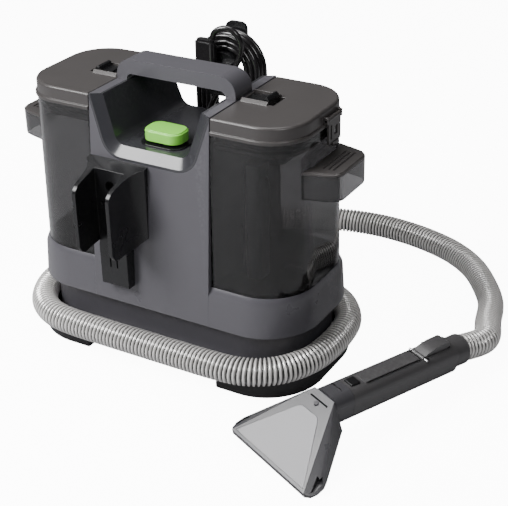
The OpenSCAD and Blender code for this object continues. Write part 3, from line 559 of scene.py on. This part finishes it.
# ---------------------------------------------------------------------------
# Control deck. A separate liner closes the recess under the handle; its front
# edge rolls over the housing as a bright bevel. The button sits in a dark plate.
deck_grey = moulded("deck_graphite", (0.035, 0.035, 0.040), 0.24, depth=0.03, dust=0.02, coat=0.3)
dressed("control_deck", "control_deck_liner", deck_grey, width=0.8)
dressed("button_plate", "button_surround", black_plastic, width=0.5)
button_green = moulded("button_lime", (0.27, 0.80, 0.09), 0.30, depth=0.02, dust=0.0, coat=0.35)
BUTTON_RIM = 278
dressed("power_button", "power_button_cap", button_green,
        rounds=[(lambda p, d: p.z > BUTTON_RIM and abs(d.z) < ACROSS, 1.4, 4)], width=0.6)
button_spring = dressed("button_spring", "button_return_spring", steel, width=0)
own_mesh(button_spring)

# ---------------------------------------------------------------------------
# Carry handle: a thick arch over the recess, with well rounded edges.
ARCH_SIDE, ARCH_LOW = 17, 319.5
dressed("carry_handle", "carry_handle_arch", housing_grey, width=0.0,
        rounds=[(lambda p, d: abs(p.y) > ARCH_SIDE and p.z > ARCH_LOW, 5.0, 5)])

# ---------------------------------------------------------------------------
# Tool holder: a black fork on a strap, screwed to the front of the tower.
dressed("tool_holder", "tool_holder_fork", black_plastic, width=1.0, segments=3)

# ---------------------------------------------------------------------------
# Tanks: smoked clear shells with a moulded finger grip, a ribbed cap on the
# grip, and a lid with a seal, a latch slide and an end clasp.
smoke = bpy.data.materials.new("tank_smoke")
smoke.use_nodes = True
shader = smoke.node_tree.nodes["Principled BSDF"]
shader.inputs["Base Color"].default_value = (0.30, 0.295, 0.30, 1)
shader.inputs["Roughness"].default_value = 0.06
shader.inputs["IOR"].default_value = 1.46
shader.inputs["Transmission Weight"].default_value = 0.99
fine, matt = smoke.node_tree.nodes.new("ShaderNodeGroup"), smoke.node_tree.nodes.new("ShaderNodeMapRange")
fine.node_tree = GRAIN
fine.inputs["Scale"].default_value = 90.0
matt.inputs["To Min"].default_value = 0.01
matt.inputs["To Max"].default_value = 0.06
smoke.node_tree.links.new(fine.outputs["Uneven"], matt.inputs["Value"])
smoke.node_tree.links.new(matt.outputs["Result"], shader.inputs["Roughness"])
lid_grey = moulded("lid_charcoal", (0.060, 0.055, 0.054), 0.34, depth=0.04, dust=0.04, coat=0.08)
seal_rubber = moulded("seal_rubber", (0.02, 0.02, 0.02), 0.7, depth=0.1, dust=0.0)


LID_HALF, LID_R, LID_INNER = (175.5, 72.5), 46.5, 79.0
# One side of the lid as (drawn in by, height): the skirt inside the tank, the flange, the band and
# the rounded rim.
LID_PROFILE = [(8.5, 297), (8.5, 283), (6, 283), (6, 300), (-2, 300), (-2, 303.2), (-1.4, 304), (0, 304.4),
               (0, 315.5), (0.35, 317.0), (1.3, 318.3), (2.6, 318.9), (4, 319)]
TRAY_LOW, TRAY_HIGH, TRAY_FLOOR = (82, -11), (121, 15), 314
RIM_FOOT, RIM_TOP, RIM_FLAT, RIM_SPREAD, RIM_SHORT = 318, 322.4, 0.8, 4.4, 6
EAR_X, EAR_Y, EAR_Z, EAR_T = (174, 180.9), (-1.5, 30.5), (304, 312), 3
ARC_STEPS = 12


def lid_loop(bm, side, inset, z):
    """The lid's outline drawn in by inset, at height z."""
    half_x, half_y, r = LID_HALF[0] - inset, LID_HALF[1] - inset, LID_R - inset
    flat = [(LID_INNER + max(inset, 0) * 0.5, -half_y)]
    for cx, cy, start in ((half_x - r, r - half_y, -90), (half_x - r, half_y - r, 0)):
        angles = [math.radians(start + 90 / ARC_STEPS * i) for i in range(ARC_STEPS + 1)]
        flat += [(cx + r * math.cos(a), cy + r * math.sin(a)) for a in angles]
    flat.append((LID_INNER + max(inset, 0) * 0.5, half_y))
    return [bm.verts.new(Vector((side * x, y, z)) * MM) for x, y in flat]


def block(bm, low, high, side=1):
    """A box from low to high in millimetres, mirrored when side is -1."""
    grown = bmesh.ops.create_cube(bm, size=1.0)["verts"]
    for v in grown:
        v.co = Vector([(low[i] + high[i]) / 2 + v.co[i] * (high[i] - low[i]) for i in range(3)]) * MM
        v.co.x *= side
    return grown


def prism(bm, outline, x0, x1, side=1):
    """An outline of (y, z) run from x0 to x1, in millimetres."""
    ends = [[bm.verts.new(Vector((side * x, y, z)) * MM) for y, z in outline] for x in (x0, x1)]
    bm.faces.new(ends[0])
    bm.faces.new(list(reversed(ends[1])))
    for i in range(len(outline)):
        j = (i + 1) % len(outline)
        bm.faces.new((ends[0][i], ends[0][j], ends[1][j], ends[1][i]))


def lid_pieces(side):
    """A lid with its sunken latch tray, the two sloped rims along it and the clasp's ears."""
    bm = bmesh.new()
    loops = [lid_loop(bm, side, inset, z) for inset, z in LID_PROFILE]
    for a, b in zip(loops, loops[1:]):
        for i in range(len(a)):
            j = (i + 1) % len(a)
            bm.faces.new((a[i], a[j], b[j], b[i]))
    bm.faces.new(loops[0])
    corners = [(TRAY_LOW[0], TRAY_LOW[1]), (TRAY_HIGH[0], TRAY_LOW[1]), (TRAY_HIGH[0], TRAY_HIGH[1]),
               (TRAY_LOW[0], TRAY_HIGH[1])]
    mouth, floor_ring = [[bm.verts.new(Vector((side * x, y, z)) * MM) for x, y in corners]
                         for z in (LID_PROFILE[-1][1], TRAY_FLOOR)]
    for i in range(4):
        j = (i + 1) % 4
        bm.faces.new((mouth[i], mouth[j], floor_ring[j], floor_ring[i]))
    bm.faces.new(floor_ring)
    top = loops[-1]
    edges = [bm.edges.get((ring[i], ring[(i + 1) % len(ring)]))
             for ring in (top, mouth) for i in range(len(ring))]
    bmesh.ops.triangle_fill(bm, use_beauty=True, edges=edges, normal=(0, 0, 1))
    for y, way in ((TRAY_LOW[1], -1), (TRAY_HIGH[1], 1)):
        prism(bm, [(y, RIM_FOOT), (y, RIM_TOP), (y + way * RIM_FLAT, RIM_TOP),
                   (y + way * RIM_SPREAD, LID_PROFILE[-1][1]), (y + way * RIM_SPREAD, RIM_FOOT)],
              TRAY_LOW[0], TRAY_HIGH[0] - RIM_SHORT, side)
    for y in EAR_Y:
        block(bm, (EAR_X[0], y, EAR_Z[0]), (EAR_X[1], y + EAR_T, EAR_Z[1]), side)
    return bm


for name in ("clean", "dirty"):
    dressed(f"{name}_tank", f"{name}_tank_shell", smoke, width=0.5)
    dressed(f"{name}_grip_cap", f"{name}_tank_grip_cap", lid_grey, width=0.8, segments=3)
    built(f"{name}_tank_lid", lid_grey, f"{name}_lid", lid_pieces(-1 if name == "clean" else 1),
          (f"{name}_lid",), width=0.5)
    dressed(f"{name}_lid_seal", f"{name}_tank_seal", seal_rubber, width=0.6)
    dressed(f"{name}_latch", f"{name}_lid_latch", black_plastic, width=0.6)
    dressed(f"{name}_clasp", f"{name}_lid_clasp", lid_grey, width=0.5)
    dressed(f"{name}_clasp_pin", f"{name}_clasp_rod", steel, width=0.2)
inner_grey = moulded("inner_charcoal", (0.05, 0.05, 0.055), 0.4, depth=0.08, dust=0.0)
for node in ("riser", "float_cage", "baffle"):
    dressed(node, f"tank_{node}", inner_grey, width=0.5)
float_orange = moulded("float_orange", (0.55, 0.16, 0.03), 0.4, depth=0.1, dust=0.0)
dressed("float", "shut_off_float", float_orange, width=1.0)
white_plastic = moulded("white_acetal", (0.62, 0.62, 0.60), 0.35, depth=0.03, dust=0.0)
dressed("valve_cap", "valve_cover", black_plastic, width=0.4)
dressed("valve_poppet", "valve_stem", white_plastic, width=0.3)
valve_spring = dressed("valve_spring", "valve_return_spring", steel, width=0)
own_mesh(valve_spring)

# ---------------------------------------------------------------------------
# Works inside the housing: motor, fan, duct, pump, switch and board.
motor_steel = moulded("motor_steel", (0.42, 0.42, 0.43), 0.35, depth=0.05, dust=0.03, metallic=0.9)
board_green = moulded("board_green", (0.03, 0.16, 0.06), 0.35, depth=0.05, dust=0.0)
clear_tube = moulded("pump_tube_white", (0.6, 0.6, 0.58), 0.3, depth=0.02, dust=0.0)
for node, finish, slot in (("vacuum_motor", motor_steel, "steel"), ("impeller", motor_steel, "steel"),
                           ("fan_casing", inner_grey, "machine_dark"), ("motor_mount", seal_rubber, "rubber"),
                           ("air_duct", inner_grey, "machine_dark"), ("pump", inner_grey, "machine_dark"),
                           ("switch", black_plastic, "black"), ("control_board", board_green, "board")):
    dressed(node, f"inside_{node}", finish, width=0.5)
frame["nodes"]["pump_tube"].data.materials.clear()
frame["nodes"]["pump_tube"].data.materials.append(clear_tube)

# ---------------------------------------------------------------------------
# Hose elbow and cord hooks in black, and the cuff at the wand end in charcoal.
wand_grey = moulded("wand_charcoal", (0.068, 0.066, 0.068), 0.32, depth=0.04, dust=0.03, coat=0.1)
dressed("hose_port", "hose_elbow", black_plastic, width=0.8)
dressed("hose_cuff", "hose_end_cuff", wand_grey, width=1.0, segments=3)
LIP_TOP, LIP_FOOT = 350, 180
dressed("cord_hooks", "cord_hook_pair", black_plastic, width=1.0, segments=3,
        rounds=[(lambda p, d: abs(d.y) > ALONG and (p.z > LIP_TOP or p.z < LIP_FOOT), 8, 6)])

# ---------------------------------------------------------------------------
# Wand: two shells round the hose bore, a trigger on a pin, a release button
# and the spray nozzle with its smoked window.
nozzle_grey = moulded("nozzle_graphite", (0.058, 0.057, 0.063), 0.30, depth=0.05, dust=0.03, coat=0.12)
window_smoke = smoke.copy()
window_smoke.name = "window_smoke"
shader = window_smoke.node_tree.nodes["Principled BSDF"]
shader.inputs["Base Color"].default_value = (0.29, 0.285, 0.305, 1)
shader.inputs["IOR"].default_value = 1.36
shader.inputs["Transmission Weight"].default_value = 0.45
for side in ("left", "right"):
    dressed(f"wand_{side}", f"wand_shell_{side}", wand_grey, width=0.6)
dressed("trigger", "spray_trigger", wand_grey, width=1.0, segments=3)
dressed("trigger_pin", "spray_trigger_pin", steel, width=0.2)
dressed("release_button", "nozzle_release", black_plastic, width=0.5)
dressed("nozzle", "nozzle_body", nozzle_grey, width=1.4, segments=3)
dressed("nozzle_window", "nozzle_window_pane", window_smoke, width=0.4)
dressed("spray_tip", "spray_tip_jet", nozzle_grey, width=0.3)
# Black marks: the latch slot across the nozzle's collar and the two pin holes beside the trigger are
# black pieces, painted shade in their openings; the long joint lines of the cover strip are dark joints.
wand_frame = (Matrix.Translation(NECK) @ Matrix.Rotation(WAND_HEADING, 4, "Z")
              @ Matrix.Rotation(-WAND_PITCH, 4, "Y") @ Matrix.Rotation(WAND_ROLL, 4, "X"))


PIN_DEPTH = 1.2 * MM
LATCH_SLOT = [((9.2, -10, 18.6), (11.4, 6, 19.62))]
JOINT_LINES = [((-104, -9.7, 19), (-24, -9.1, 19.75)), ((-104, 9.1, 19), (-24, 9.7, 19.75))]
PIN_HOLES = [((-113, 12.5, 18.9), 1.7), ((-130, -12.5, 18.9), 1.7)]


def marks(name, body, boxes, pins=()):
    """Shallow black boxes, and round pins as (centre, radius), in the wand's own millimetres."""
    bm = bmesh.new()
    for low, high in boxes:
        block(bm, low, high)
    for at, radius in pins:
        grown = bmesh.ops.create_cone(bm, cap_ends=True, segments=20, radius1=radius * MM,
                                      radius2=radius * MM, depth=PIN_DEPTH)["verts"]
        for v in grown:
            v.co += Vector(at) * MM
    bmesh.ops.transform(bm, matrix=wand_frame, verts=bm.verts)
    built(name, black_plastic, body, bm)


# The latch slot is a black box on the collar: painted shade in the opening.
marks("nozzle_latch_slot_shade", "nozzle", LATCH_SLOT)
# The pin holes are black discs: painted shade in the holes. The joint lines are dark joints.
marks("wand_joint_lines_and_hole_shade", "wand", JOINT_LINES, PIN_HOLES)
